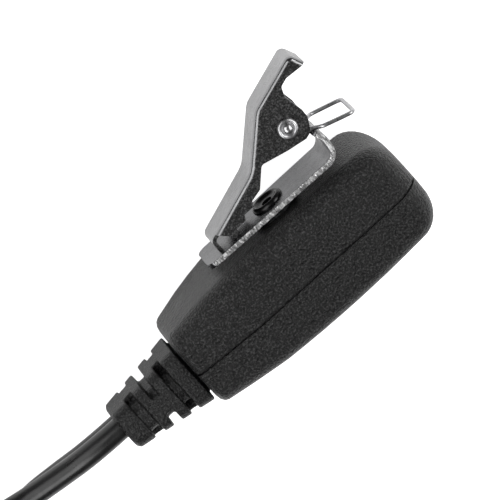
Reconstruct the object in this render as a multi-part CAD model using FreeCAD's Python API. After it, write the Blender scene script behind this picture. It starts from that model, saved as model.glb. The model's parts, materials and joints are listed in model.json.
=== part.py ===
"""Lavalier microphone with a talk button, a swivelling spring clip and two leads.

Millimetres. The part lies on its side: +X runs along the housing to its closed end, +Y points
out of the back face with the clip, +Z is up across the width. The origin is on the lower side
face, below the axis that the clip swivels about, at the middle of the housing's thickness.
"""

import FreeCAD, Part
import math
import os

os.makedirs("parts", exist_ok=True)
V = FreeCAD.Vector

# Housing, seen from the side
housing_width = 20.0
side_trim = 0.008
back_y = 9.25
front_y = -9.25
boot_end_x = -27.0
round_end_x = 20.2
wall = 1.6
seam_y = -0.55
seam_gap = 0.4
seam_depth = 0.45
lip_height = 0.9
lip_clearance = 0.08

# How the faces fall away towards the ends
back_fall = 2.6
back_fall_from_x = -8.0
front_fall_boot = 1.65
front_fall_round = 0.5
taper_from_x = -14.3
boot_end_width = 16.2
round_from_x = 14.9
round_side = 5.3
round_back = 5.7
round_front = 4.5
boot_end_round = 1.2
back_edge_radius = 3.6
front_edge_radius = 3.0
housing_least_radius = 0.5
boot_end_straight = 3.0

# Swivel on the back face
boss_radius = 4.2
boss_height = 0.3
washer_radius = 3.9
washer_thickness = 0.35
swivel_shank_radius = 2.0
swivel_head_radius = 2.9
swivel_head_height = 0.7
swivel_bore_radius = 1.0
swivel_tail_thickness = 0.7
swivel_head_round = 0.35
swivel_dish_spread = 0.75
swivel_dish_depth = 0.5
face_gap = 0.05
running_gap = 0.05

# Clip base, bent from sheet; heights are above the underside of its plate
base_sheet = 0.95
base_tip_x = -14.0
base_tip_width = 9.0
base_tip_corner = 1.6
base_rear_width = 10.6
base_wall_x = 13.95
base_bend_radius = 2.8
base_lean_from_height = 4.4
base_lean_radius = 1.5
base_top_x = 13.25
base_top_height = 6.3
base_top_corner = 0.6
wire_slot_from = 1.6
wire_slot_to = 4.75
wire_slot_height = 5.35
knuckle_half_width = 0.75
knuckle_root = 0.7

# Clip lever, bent from sheet: x, height above the base plate, and radius of each corner
lever_sheet = 0.7
lever_width = 7.6
lever_edge_radius = 0.9
lever_back = [
    (-11.1, 0.2, 0),
    (-11.1, 2.35, 1.3),
    (0.85, 6.6, 5.0),
    (8.1, 13.85, 3.6),
    (18.1, 17.25, 1.2),
    (19.3, 14.5, 0),
]
cheek_edge = [
    (18.5, 14.4, 0),
    (15.4, 14.6, 0.8),
    (13.9, 14.1, 0.7),
    (13.25, 12.5, 1.0),
    (13.55, 11.0, 1.0),
    (13.95, 8.9, 1.0),
    (13.9, 7.4, 1.2),
    (12.7, 5.2, 1.2),
    (11.4, 4.75, 0.8),
    (7.9, 5.35, 1.5),
    (3.2, 6.5, 0.8),
    (0.4, 3.6, 0.8),
]
jaw_x = -1.75
jaw_height = 3.05
tooth_count = 3
tooth_pitch = 2.4
tooth_rise = 0.86
tooth_run = 0.45
jaw_cut_reach = 2.0
jaw_end_x = -7.6
jaw_end_height = 0.12
jaw_front = [(-8.2, 1.2), (-9.8, 2.8), (-10.6, 3.6)]
pivot_x = 10.2
pivot_rise = 9.15
pin_radius = 1.2
pin_head_radius = 1.75
pin_head_height = 0.55
pin_head_round = 0.25
pin_dome_radius = 1.0
pin_dome_top_radius = 0.6
pin_dome_height = 0.35

# Clip spring
spring_wire = 0.62
spring_coil_radius = 2.0
spring_pitch = 1.03
spring_side_gap = 0.08
spring_steps = 6
bail_slope_deg = 17.0
bail_narrow_x = 13.2
bail_wide_x = 14.5
bail_half_width = 4.35
bail_end_x = 20.0
bail_leg_lean = 0.1
bail_corner_radius = 1.5
bail_bend_radius = 0.9
arm_slope_deg = 45.0
arm_length = 7.1

# Ribbed boot
boot_x = -27.4
boot_exit_x = -42.0
boot_height = 9.6
boot_width = 11.5
boot_exit_height = 7.0
boot_exit_width = 9.6
boot_core_height = 5.2
boot_core_width = 9.0
rib_ends = [(-27.4, -30.3), (-31.7, -33.6), (-35.1, -36.9), (-38.6, -42.0)]
boot_neck_height = 7.4
boot_neck_width = 9.7
boot_flange_height = 9.0
boot_flange_width = 11.4
boot_flange_thickness = 0.9
boot_round = 2.2
boot_core_round = 1.8
boot_neck_round = 2.0
boot_chamfer = 0.5
boot_web_half_width = 2.1
boot_web_half_height = 1.5

# Leads
lead_diameter = 3.9
lead_spacing = 4.1
lead_bore_gap = 0.04
earpiece_exit_y = -0.25
main_exit_y = -1.1
lead_inner_x = -21.6
anchor_height = 7.4
anchor_width = 12.0
anchor_round = 1.2
anchor_end_gap = 0.6
wire_radius = 0.35
wire_rise = 0.45
wire_places = [-3.0, -1.9, -1.0, 1.0, 1.9, 3.0]

# Put-away coil of the main lead
coil_centre_x = -104.0
coil_centre_y = -0.5
coil_inner_radius = 15.2
coil_turns = 5.5
coil_pitch = 4.43
coil_floor_gap = 0.55
coil_turn_back = 0.25
coil_lead_in = 5.7
coil_lead_out = 5.5
earpiece_lying_radius = 21.6
earpiece_lying_gap = 0.2
tie_thickness = 0.5
tie_width = 4.0
tie_angle_deg = -25.0
tie_inner_radius = 13.5
tie_outer_radius = 26.6
tie_gap = 0.1

# Plug on the main lead and socket on the earpiece lead
plug_start_x = -82.0
plug_relief_length = 7.0
plug_relief_radius = 2.8
plug_body_length = 14.0
plug_body_radius = 4.0
plug_body_chamfer = 0.6
plug_flat_depth = 0.5
plug_flat_from = 3.0
plug_flat_to = 4.0
relief_wall = 0.35
relief_slot_wall = 0.25
relief_slot_width = 0.8
relief_slot_pitch = 1.9
relief_slot_from = 1.6
jack_radius = 1.75
jack_sleeve_length = 6.5
jack_ring_length = 3.0
jack_tip_length = 3.6
jack_insulator_length = 0.45
jack_core_radius = 1.0
jack_core_depth = 6.0
jack_neck_radius = 1.15
jack_neck_length = 1.3
jack_bulb_radius = 1.55
jack_bulb_length = 0.9
jack_nose_radius = 0.5
socket_y = -21.7
socket_start_x = -102.0
socket_relief_length = 6.0
socket_body_length = 18.0
socket_body_radius = 3.6
socket_bore_radius = 1.8
socket_bore_length = 14.5
socket_body_chamfer = 0.5
socket_relief_taper = 0.7
contact_from = 1.2
contact_pitch = 4.6
contact_length = 3.4
contact_width = 1.4
contact_thickness = 0.7
contact_gap = 0.03
contact_wall = 0.3

# Talk button and switch
button_x = -1.5
button_length = 13.0
button_width = 8.6
button_proud = 0.7
button_gap = 0.12
button_flange = 0.8
button_flange_thickness = 0.8
button_travel = 0.6
button_crown_radius = 0.45
button_stem_radius = 1.6
plunger_radius = 1.15
plunger_proud = 0.9
switch_size = 6.0
switch_height = 1.9
switch_floor = 0.3
switch_leg_out = 0.35
switch_leg_in = 1.0
switch_leg_length = 0.72
switch_leg_width = 0.7
switch_leg_height = 0.5

# Board, screws and microphone
board_y = -2.2
board_thickness = 1.0
board_from_x = -20.0
board_to_x = 17.0
board_width = 13.6
board_corner_radius = 2.2
board_hole_gap = 0.3
chips = [(-5.5, -1.0, -5.2, -1.2, 1.2), (2.0, 5.5, 1.5, 4.5, 1.0)]
capacitor_places = [(4.0, -3.4), (-3.5, 3.6)]
capacitor_radius = 1.6
capacitor_height = 4.2
pad_from = 3.4
pad_length = 1.4
pad_width = 1.6
pad_height = 0.25
pad_pitch = 3.0
post_radius = 2.5
screw_places = [-12.2, 9.4]
screw_shank_radius = 0.85
screw_head_radius = 1.6
screw_head_height = 1.1
screw_head_sink = 0.6
screw_recess_depth = 0.6
screw_recess_length = 1.8
screw_recess_width = 0.4
screw_reach = 4.6
screw_gap = 0.03
screw_pilot_gap = 0.4
microphone_x = 14.2
capsule_radius = 2.0
capsule_height = 1.5
holder_radius = 2.7
holder_height = 2.6
holder_floor = 0.3
sound_hole_radius = 1.2
holder_seat_wall = 0.8
holder_seat_height = 2.08
screen_thickness = 0.3
screen_radius = 2.4
microphone_port_radius = 0.55
microphone_port_spacing = 1.4

mid_z = housing_width / 2
boss_top = back_y + boss_height
washer_from = boss_top + face_gap
plate_under = washer_from + washer_thickness + face_gap
plate_top = plate_under + base_sheet
pivot_y = plate_under + pivot_rise
lead_radius = lead_diameter / 2
spring_radius = spring_wire / 2


def box(x0, x1, y0, y1, z0, z1):
    return Part.makeBox(x1 - x0, y1 - y0, z1 - z0, V(x0, y0, z0))


def rod_x(y, z, radius, x0, x1):
    return Part.makeCylinder(radius, x1 - x0, V(x0, y, z), V(1, 0, 0))


def rod_y(x, z, radius, y0, y1):
    return Part.makeCylinder(radius, y1 - y0, V(x, y0, z), V(0, 1, 0))


def rod_z(x, y, radius, z0, z1):
    return Part.makeCylinder(radius, z1 - z0, V(x, y, z0), V(0, 0, 1))


def side_prism(points, z0, z1):
    """A solid with this outline seen from the side, from z0 to z1."""
    outline = Part.makePolygon([V(x, y, z0) for x, y in points + points[:1]])
    return Part.Face(outline).extrude(V(0, 0, z1 - z0))


def join(first, *others):
    return first.multiFuse(list(others)).removeSplitter() if others else first


def export(name, *solids):
    shape = solids[0] if len(solids) == 1 else Part.makeCompound(list(solids))
    if not shape.isValid():
        print("not valid:", name)
    shape.exportStep("parts/" + name + ".step")


def rounded_section(x, y0, y1, z0, z1, front_radius, back_radius):
    """A rectangle across the X axis with rounded corners, as one closed wire."""
    limit = 0.46 * min(y1 - y0, z1 - z0)
    a = min(front_radius, limit)
    b = min(back_radius, limit)
    corners = [(y0, z0, a, 1, 1), (y1, z0, b, -1, 1), (y1, z1, b, -1, -1), (y0, z1, a, 1, -1)]
    edges = []
    ends = []
    for index, (y, z, radius, sy, sz) in enumerate(corners):
        beside_y = V(x, y + sy * radius, z)
        beside_z = V(x, y, z + sz * radius)
        slack = radius * (1 - math.sqrt(0.5))
        middle = V(x, y + sy * slack, z + sz * slack)
        first, last = (beside_z, beside_y) if index % 2 == 0 else (beside_y, beside_z)
        ends.append((first, middle, last))
    for index, (first, middle, last) in enumerate(ends):
        edges.append(Part.Arc(first, middle, last).toShape())
        following = ends[(index + 1) % 4][0]
        edges.append(Part.LineSegment(last, following).toShape())
    return Part.Wire(edges)


def housing_limits(x):
    """Front, back and half width of the housing's outside at x, before its ends are rounded."""
    back_share = max(0.0, (back_fall_from_x - x) / (back_fall_from_x - boot_end_x))
    back = back_y - back_fall * back_share**2
    if x < 0:
        front = front_y + front_fall_boot * (x / boot_end_x) ** 2
    else:
        front = front_y + front_fall_round * (x / round_from_x) ** 2
    taper = max(0.0, (taper_from_x - x) / (taper_from_x - boot_end_x))
    half = mid_z + side_trim - taper * (housing_width - boot_end_width) / 2
    return front, back, half


def housing_solid(inset):
    """The housing's outside, or the same form set in all over by inset."""
    sections = []

    def add(x, at_x, front_in, back_in, side_in):
        front, back, half = housing_limits(at_x)
        sections.append(
            rounded_section(
                x,
                front + inset + front_in,
                back - inset - back_in,
                mid_z - half + inset + side_in,
                mid_z + half - inset - side_in,
                max(front_edge_radius - inset, housing_least_radius),
                max(back_edge_radius - inset, housing_least_radius),
            )
        )

    rounding = max(boot_end_round - inset, 0.3)
    for angle in (0, 30, 60, 90):
        x = boot_end_x + inset + rounding * (1 - math.cos(math.radians(angle)))
        shrink = rounding * (1 - math.sin(math.radians(angle)))
        add(x, x, shrink, shrink, shrink)
    for share in (0.3, 0.65, 1.0):
        straight_from = boot_end_x + boot_end_straight
        x = straight_from + share * (taper_from_x - straight_from)
        add(x, x, 0, 0, 0)
    for share in (0.12, 0.26, 0.4, 0.55, 0.7, 0.85, 1.0):
        x = taper_from_x + share * (round_from_x - taper_from_x)
        add(x, x, 0, 0, 0)
    for angle in range(10, 91, 10):
        reach = math.sin(math.radians(angle))
        drop = 1 - math.cos(math.radians(angle))
        add(
            round_from_x + (round_end_x - inset - round_from_x) * reach,
            round_from_x,
            (round_front - inset) * drop,
            (round_back - inset) * drop,
            (round_side - inset) * drop,
        )
    return Part.makeLoft(sections, True, True)


far = 100.0
outside = housing_solid(0.0).common(box(-far, far, -far, far, 0, housing_width))
inside = housing_solid(wall)
groove = outside.cut(housing_solid(seam_depth)).common(
    box(-far, far, seam_y - seam_gap / 2, seam_y + seam_gap / 2, -far, far)
)
neck_cut = rounded_section(
    boot_x - 1,
    seam_y - boot_neck_height / 2 - face_gap,
    seam_y + boot_neck_height / 2 + face_gap,
    mid_z - boot_neck_width / 2 - face_gap,
    mid_z + boot_neck_width / 2 + face_gap,
    boot_neck_round,
    boot_neck_round,
)
neck_cut = Part.Face(neck_cut).extrude(V(boot_end_x - boot_x + 2 * wall + 2, 0, 0))


def lip_ring(outer_inset, height):
    """The band inside the seam that one shell keeps and the other leaves out."""
    ring = housing_solid(outer_inset).cut(inside)
    return ring.common(box(-far, far, seam_y, seam_y + height, -far, far))


def post(x, y0, y1):
    """A screw post that grows out of the shell's wall."""
    return rod_y(x, mid_z, post_radius, y0, y1).common(outside)


def make_rear_shell():
    shell = outside.common(box(-far, far, seam_y, far, -far, far)).cut(inside)
    boss = rod_y(0, mid_z, boss_radius, back_y - wall / 2, boss_top)
    posts = [post(x, board_y + board_thickness + face_gap, back_y) for x in screw_places]
    shell = join(shell, boss, *posts)
    shell = shell.cut(lip_ring(wall / 2, lip_height + lip_clearance))
    shell = shell.cut(groove).cut(neck_cut)
    shell = shell.cut(rod_y(0, mid_z, swivel_shank_radius + running_gap, 0, far))
    for x in screw_places:
        shell = shell.cut(rod_y(x, mid_z, screw_shank_radius + screw_gap * 3, -far, far))
        head = rod_y(x, mid_z, screw_head_radius + screw_gap * 3, screw_head_y(x), far)
        shell = shell.cut(head)
    return shell


def screw_head_y(x):
    """The seat of a screw's head, its own height and a little more below the back face."""
    return housing_limits(x)[1] - screw_head_height - screw_head_sink


def button_outline(grow):
    """The button's rounded oblong, seen from the front, as a solid through the front wall."""
    half = button_width / 2 + grow
    reach = button_length / 2 - button_width / 2
    middle = box(button_x - reach, button_x + reach, -far, far, mid_z - half, mid_z + half)
    ends = [rod_y(button_x + side * reach, mid_z, half, -far, far) for side in (-1, 1)]
    return join(middle, *ends)


def front_inner_y(x):
    return housing_limits(x)[0] + wall


def make_front_shell():
    shell = outside.common(box(-far, far, -far, seam_y, -far, far)).cut(inside)
    posts = [post(x, -far, board_y - face_gap) for x in screw_places]
    seat_radius = holder_radius + holder_seat_wall
    seat = rod_y(microphone_x, mid_z, seat_radius, -far, holder_y + holder_seat_height)
    seat = seat.common(outside)
    lip = lip_ring(wall / 2 + lip_clearance, lip_height)
    shell = join(shell, lip, seat, *posts)
    shell = shell.cut(rod_y(microphone_x, mid_z, holder_radius + face_gap, holder_y - face_gap, far))
    shell = shell.cut(rod_y(microphone_x, mid_z, screen_radius + face_gap, screen_y - face_gap, far))
    for place in (-1, 0, 1):
        port_z = mid_z + place * microphone_port_spacing
        shell = shell.cut(rod_y(microphone_x, port_z, microphone_port_radius, -far, seam_y))
    shell = shell.cut(button_outline(button_gap).common(box(-far, far, -far, front_y + 3 * wall, -far, far)))
    for x in screw_places:
        pilot_from = board_y - screw_reach - screw_pilot_gap
        shell = shell.cut(rod_y(x, mid_z, screw_shank_radius + screw_gap, pilot_from, far))
    return shell.cut(groove).cut(neck_cut)


screen_y = front_inner_y(microphone_x) + face_gap
holder_y = screen_y + screen_thickness + face_gap


def make_talk_button():
    outer_y = front_y - button_proud
    flange_y = max(front_inner_y(button_x), front_inner_y(button_x - button_length / 2)) + 2 * button_gap
    cap = button_outline(0).common(box(-far, far, outer_y, flange_y, -far, far))
    crown = [edge for edge in cap.Edges if abs(edge.CenterOfMass.y - outer_y) < 0.01]
    cap = cap.makeFillet(button_crown_radius, crown)
    flange = button_outline(button_flange).common(
        box(-far, far, flange_y, flange_y + button_flange_thickness, -far, far)
    )
    plunger_tip = board_y - switch_height - plunger_proud
    stem = rod_y(button_x, mid_z, button_stem_radius, flange_y, plunger_tip - face_gap)
    return join(cap, flange, stem)


def make_switch():
    """The switch's body on the board and the plunger that slides in it."""
    top_y = board_y - switch_height
    half = switch_size / 2
    body = box(button_x - half, button_x + half, top_y, board_y, mid_z - half, mid_z + half)
    well = rod_y(button_x, mid_z, plunger_radius + running_gap, top_y, board_y - switch_floor)
    legs = []
    for sx in (-1, 1):
        for sz in (-1, 1):
            x0 = button_x + sx * (half + switch_leg_out) - switch_leg_length / 2
            z0 = mid_z + sz * (half - switch_leg_in) - switch_leg_width / 2
            y0 = board_y - switch_leg_height
            legs.append(box(x0, x0 + switch_leg_length, y0, board_y, z0, z0 + switch_leg_width))
    body = join(body, *legs).cut(well)
    inner_end = board_y - switch_floor - button_travel - 2 * face_gap
    plunger = rod_y(button_x, mid_z, plunger_radius, top_y - plunger_proud, inner_end)
    return body, plunger


def make_board():
    half = board_width / 2
    board = box(
        board_from_x, board_to_x, board_y, board_y + board_thickness, mid_z - half, mid_z + half
    )
    corners = [edge for edge in board.Edges if abs(edge.tangentAt(edge.FirstParameter).y) > 0.9]
    board = board.makeFillet(board_corner_radius, corners)
    for x in screw_places:
        board = board.cut(rod_y(x, mid_z, screw_shank_radius + board_hole_gap, -far, far))
    return board


def make_board_parts():
    """Two chips, two round capacitors and a row of solder pads on the board's back."""
    y = board_y + board_thickness
    parts = [box(x0, x1, y, y + height, mid_z + z0, mid_z + z1) for x0, x1, z0, z1, height in chips]
    for x, z in capacitor_places:
        parts.append(rod_y(x, mid_z + z, capacitor_radius, y, y + capacitor_height))
    pad_x = board_from_x + pad_from
    for place in (-1, 0, 1):
        z = mid_z + place * pad_pitch - pad_width / 2
        parts.append(box(pad_x, pad_x + pad_length, y, y + pad_height, z, z + pad_width))
    return parts


def make_screws():
    screws = []
    for x in screw_places:
        seat = screw_head_y(x)
        tip = board_y - screw_reach
        shank = rod_y(x, mid_z, screw_shank_radius, tip, seat)
        head = rod_y(x, mid_z, screw_head_radius, seat, seat + screw_head_height)
        screw = join(shank, head)
        floor_y = seat + screw_head_height - screw_recess_depth
        long = screw_recess_length / 2
        wide = screw_recess_width / 2
        for reach, half in ((long, wide), (wide, long)):
            screw = screw.cut(box(x - reach, x + reach, floor_y, far, mid_z - half, mid_z + half))
        screws.append(screw)
    return screws


def make_microphone():
    capsule_y = holder_y + holder_floor
    holder = rod_y(microphone_x, mid_z, holder_radius, holder_y, holder_y + holder_height)
    pocket = rod_y(microphone_x, mid_z, capsule_radius + face_gap, capsule_y - face_gap, far)
    sound_hole = rod_y(microphone_x, mid_z, sound_hole_radius, -far, far)
    holder = holder.cut(pocket).cut(sound_hole)
    capsule = rod_y(microphone_x, mid_z, capsule_radius, capsule_y, capsule_y + capsule_height)
    screen = rod_y(microphone_x, mid_z, screen_radius, screen_y, screen_y + screen_thickness)
    return holder, capsule, screen


def make_rivet():
    """The hollow rivet that the clip turns on, spread inside the back wall."""
    head_y = plate_top + face_gap
    tail_y = back_y - wall - face_gap
    head = rod_y(0, mid_z, swivel_head_radius, head_y, head_y + swivel_head_height)
    head_top = head_y + swivel_head_height
    rim = [edge for edge in head.Edges if abs(edge.CenterOfMass.y - head_top) < 0.01]
    head = head.makeFillet(swivel_head_round, rim)
    shank = rod_y(0, mid_z, swivel_shank_radius, tail_y - swivel_tail_thickness, head_y + 0.1)
    tail = rod_y(0, mid_z, swivel_head_radius, tail_y - swivel_tail_thickness, tail_y)
    bore = rod_y(0, mid_z, swivel_bore_radius, -far, far)
    dish = Part.makeCone(
        swivel_bore_radius,
        swivel_bore_radius + swivel_dish_spread,
        swivel_dish_depth,
        V(0, head_top - swivel_dish_depth, mid_z),
        V(0, 1, 0),
    )
    return join(head, shank, tail).cut(bore).cut(dish)


def make_washer():
    disc = rod_y(0, mid_z, washer_radius, washer_from, washer_from + washer_thickness)
    return disc.cut(rod_y(0, mid_z, swivel_shank_radius + running_gap, -far, far))


def arc_from(start, direction, end):
    """The arc that leaves start along direction and ends at end."""
    chord = end - start
    length = chord.Length
    along = chord / length
    aside = direction - along * direction.dot(along)
    if aside.Length < 1e-6:
        return Part.LineSegment(start, end).toShape()
    aside.normalize()
    turn = math.acos(max(-1.0, min(1.0, direction.dot(along))))
    middle = start + chord / 2 + aside * (length / 2 * math.tan(turn / 2))
    return Part.Arc(start, middle, end).toShape()


def bent_edges(points, radii):
    """Straight runs through points, with a tangent arc of its own radius at each inner point."""
    edges = []
    start = points[0]
    for index, radius in enumerate(radii, 1):
        here = points[index]
        back = points[index - 1] - here
        on = points[index + 1] - here
        back.normalize()
        on.normalize()
        turn = math.pi - math.acos(max(-1.0, min(1.0, back.dot(on))))
        cut = radius * math.tan(turn / 2)
        edges.append(Part.LineSegment(start, here + back * cut).toShape())
        if radius > 0:
            edges.append(arc_from(here + back * cut, back * -1, here + on * cut))
        start = here + on * cut
    edges.append(Part.LineSegment(start, points[-1]).toShape())
    return edges


def rounded_prism(corners, z0, z1):
    """A solid with this outline of x, y and corner radius seen from the side."""
    points = [V(x, y, z0) for x, y, radius in corners]
    middle = (points[0] + points[-1]) / 2
    edges = bent_edges([middle, *points, middle], [radius for x, y, radius in corners])
    return Part.Face(Part.Wire(edges)).extrude(V(0, 0, z1 - z0))


def set_aside(corners, amount):
    """The same open line moved to its right-hand side by amount, with its bends still parallel."""
    moved = []
    for index, (x, y, radius) in enumerate(corners):
        here = V(x, y, 0)
        sides = []
        for other, sign in ((index - 1, 1), (index + 1, -1)):
            if 0 <= other < len(corners):
                run = (here - V(corners[other][0], corners[other][1], 0)) * sign
                run.normalize()
                sides.append(V(run.y, -run.x, 0))
        both = sides[0] + sides[-1]
        place = here + both * (amount / (1 + sides[0].dot(sides[-1])))
        turns_left = sides[0].cross(sides[-1]).z > 0
        if radius > 0:
            radius += amount if turns_left else -amount
        moved.append((place.x, place.y, radius))
    return moved


def make_clip_base():
    """Plate, rear wall with its leaning top, and the knuckle that holds the pivot pin."""
    under = [
        (base_tip_x, plate_under, 0),
        (base_wall_x, plate_under, base_bend_radius),
        (base_wall_x, plate_under + base_lean_from_height, base_lean_radius),
        (base_top_x, plate_under + base_top_height, 0),
    ]
    upper = set_aside(under, -base_sheet)
    sheet = rounded_prism(under + upper[::-1], 0, housing_width)
    half_tip = base_tip_width / 2
    half_rear = base_rear_width / 2
    plan = rounded_prism(
        [
            (base_tip_x, half_tip, base_tip_corner),
            (base_tip_x, -half_tip, base_tip_corner),
            (base_wall_x + 1, -half_rear, 0),
            (base_wall_x + 1, half_rear, 0),
        ],
        0,
        far,
    )
    plan.rotate(V(0, 0, 0), V(1, 0, 0), -90)
    plan.translate(V(0, 0, mid_z))
    sheet = sheet.common(plan)
    top = plate_under + base_top_height
    ears = [
        edge
        for edge in sheet.Edges
        if abs(edge.Length - base_sheet) < 0.1 and edge.CenterOfMass.y > top - base_sheet
    ]
    sheet = sheet.makeFillet(base_top_corner, ears)
    slot_floor = plate_under + wire_slot_height
    for z0, z1 in ((-wire_slot_to, -wire_slot_from), (wire_slot_from, wire_slot_to)):
        sheet = sheet.cut(box(0, far, slot_floor, far, mid_z + z0, mid_z + z1))
    # The knuckle is a narrow tab of the wall's top, rolled round the pin.
    ring_radius = pin_radius + running_gap + base_sheet
    root = V((under[-1][0] + upper[-1][0]) / 2, (under[-1][1] + upper[-1][1]) / 2 - knuckle_root, 0)
    pin_place = V(pivot_x, pivot_y, 0)
    along = pin_place - root
    along.normalize()
    across = V(-along.y, along.x, 0) * (base_sheet / 2)
    corners = [root - across, root + across, pin_place + across, pin_place - across]
    low = mid_z - knuckle_half_width
    high = mid_z + knuckle_half_width
    tab = side_prism([(p.x, p.y) for p in corners], low, high)
    roll = rod_z(pivot_x, pivot_y, ring_radius, low, high)
    base = join(sheet, tab, roll)
    base = base.cut(rod_z(pivot_x, pivot_y, pin_radius + running_gap, low - 1, high + 1))
    return base.cut(rod_y(0, mid_z, swivel_shank_radius + running_gap, 0, far))


def jaw_line():
    """The stepped underside of the jaw, from the throat to the jaw's front end."""
    points = []
    for tooth in range(tooth_count):
        x = jaw_x - tooth * tooth_pitch
        height = jaw_height - tooth * tooth_rise
        points.append((x, height, 0))
        points.append((x - tooth_run, height - tooth_rise, 0))
    return points + [(jaw_end_x, jaw_end_height, 0)]


def above_plate(corners):
    """A lever outline's heights turned into places along Y."""
    return [(x, plate_top + height, radius) for x, height, radius in corners]


def make_clip_lever():
    """Back, cheeks and jaw of the lever, bent from one sheet."""
    half = lever_width / 2
    inner_half = half - lever_sheet
    back = above_plate(lever_back)
    outline = back + above_plate(cheek_edge + jaw_line())
    body = rounded_prism(outline, mid_z - half, mid_z + half)
    back_line = Part.Wire(bent_edges([V(x, y, 0) for x, y, r in back], [r for x, y, r in back[1:-1]]))
    rounded = []
    for edge in body.Edges:
        middle = edge.valueAt((edge.FirstParameter + edge.LastParameter) / 2)
        on_side = abs(abs(middle.z - mid_z) - half) < 0.01
        flat_middle = Part.Vertex(middle.x, middle.y, 0)
        if on_side and back_line.distToShape(flat_middle)[0] < 0.01:
            rounded.append(edge)
    body = body.makeFillet(lever_edge_radius, rounded)
    inside_back = set_aside(back, lever_sheet)
    floor_y = plate_top - jaw_cut_reach
    hollow = inside_back + [(inside_back[-1][0], floor_y, 0), (inside_back[0][0], floor_y, 0)]
    channel = rounded_prism(hollow, mid_z - inner_half, mid_z + inner_half)
    nose_inside_x = inside_back[0][0]
    front = [(jaw_end_x, -jaw_cut_reach), (jaw_end_x, jaw_end_height), *jaw_front]
    beyond_x = nose_inside_x - lever_sheet - jaw_cut_reach
    beside_nose = front + [(beyond_x, jaw_front[-1][1]), (beyond_x, -jaw_cut_reach)]
    lever = body.cut(channel)
    for z0, z1 in ((mid_z - half - 1, mid_z - inner_half), (mid_z + inner_half, mid_z + half + 1)):
        lever = lever.cut(side_prism([(x, plate_top + height) for x, height in beside_nose], z0, z1))
    return lever.cut(rod_z(pivot_x, pivot_y, pin_radius + running_gap, 0, housing_width))


def make_pivot_pin():
    half = lever_width / 2 + face_gap
    shank = rod_z(pivot_x, pivot_y, pin_radius, mid_z - half, mid_z + half)
    pieces = []
    for side in (-1, 1):
        axis = V(0, 0, side)
        place = V(pivot_x, pivot_y, mid_z + side * half)
        head = Part.makeCylinder(pin_head_radius, pin_head_height, place, axis)
        rim = [
            edge
            for edge in head.Edges
            if abs(abs(edge.CenterOfMass.z - mid_z) - half - pin_head_height) < 0.01
        ]
        head = head.makeFillet(pin_head_round, rim)
        top = place + axis * pin_head_height
        dome = Part.makeCone(pin_dome_radius, pin_dome_top_radius, pin_dome_height, top, axis)
        pieces += [head, dome]
    return join(shank, *pieces)


def biarc(p0, t0, p1, t1):
    """Two arcs that leave p0 along t0 and reach p1 along t1, smooth where they join."""
    v = p1 - p0
    t = t0 + t1
    k = 2 * (1 - t0.dot(t1))
    if k < 1e-9:
        d = v.dot(v) / (2 * v.dot(t))
    else:
        d = (-v.dot(t) + math.sqrt(v.dot(t) ** 2 + k * v.dot(v))) / k
    joint = (p0 + p1 + (t0 - t1) * d) / 2
    back = arc_from(p1, t1 * -1, joint)
    return [arc_from(p0, t0, joint), back.reversed()]


def wound_edges(place, first, last, steps):
    """Biarcs along a wound line: place(s) gives its point at s turns."""
    edges = []
    small = 1e-4

    def heading(s):
        way = place(s + small) - place(s - small)
        way.normalize()
        return way

    for index in range(steps):
        a = first + (last - first) * index / steps
        b = first + (last - first) * (index + 1) / steps
        edges += biarc(place(a), heading(a), place(b), heading(b))
    return edges, heading(first), heading(last)


def tube(edges, start, direction, radius):
    """One unbroken tube of that radius along edges that join smoothly."""
    path = Part.Wire(Part.__sortEdges__(edges))
    ring = Part.Wire([Part.makeCircle(radius, start, direction)])
    return path.makePipeShell([ring], True, False)


def rounded_route(points, print_as=None, share=0.45):
    """Straight runs joined by tangent arcs, each as large as its two runs allow."""
    edges = []
    radii = []
    start = points[0]
    for index in range(1, len(points) - 1):
        here = points[index]
        back = points[index - 1] - here
        on = points[index + 1] - here
        cut = share * min(back.Length, on.Length)
        back.normalize()
        on.normalize()
        turn = math.pi - math.acos(max(-1.0, min(1.0, back.dot(on))))
        radius = cut / math.tan(turn / 2)
        radii.append(round(radius, 1))
        enter = here + back * cut
        leave = here + on * cut
        edges.append(Part.LineSegment(start, enter).toShape())
        edges.append(arc_from(enter, back * -1, leave))
        start = leave
    edges.append(Part.LineSegment(start, points[-1]).toShape())
    if print_as:
        print(print_as, "arc radii", radii)
    return edges


def lead_tube(name, points, radius):
    """A free stretch of cord through its route's points."""
    edges = rounded_route(points, name)
    way = points[1] - points[0]
    way.normalize()
    solid = tube(edges, points[0], way, radius)
    length = sum(edge.Length for edge in edges)
    section = math.pi * radius**2
    print(name, "length", round(length, 1), "volume ratio", round(solid.Volume / (section * length), 4))
    return solid


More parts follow.
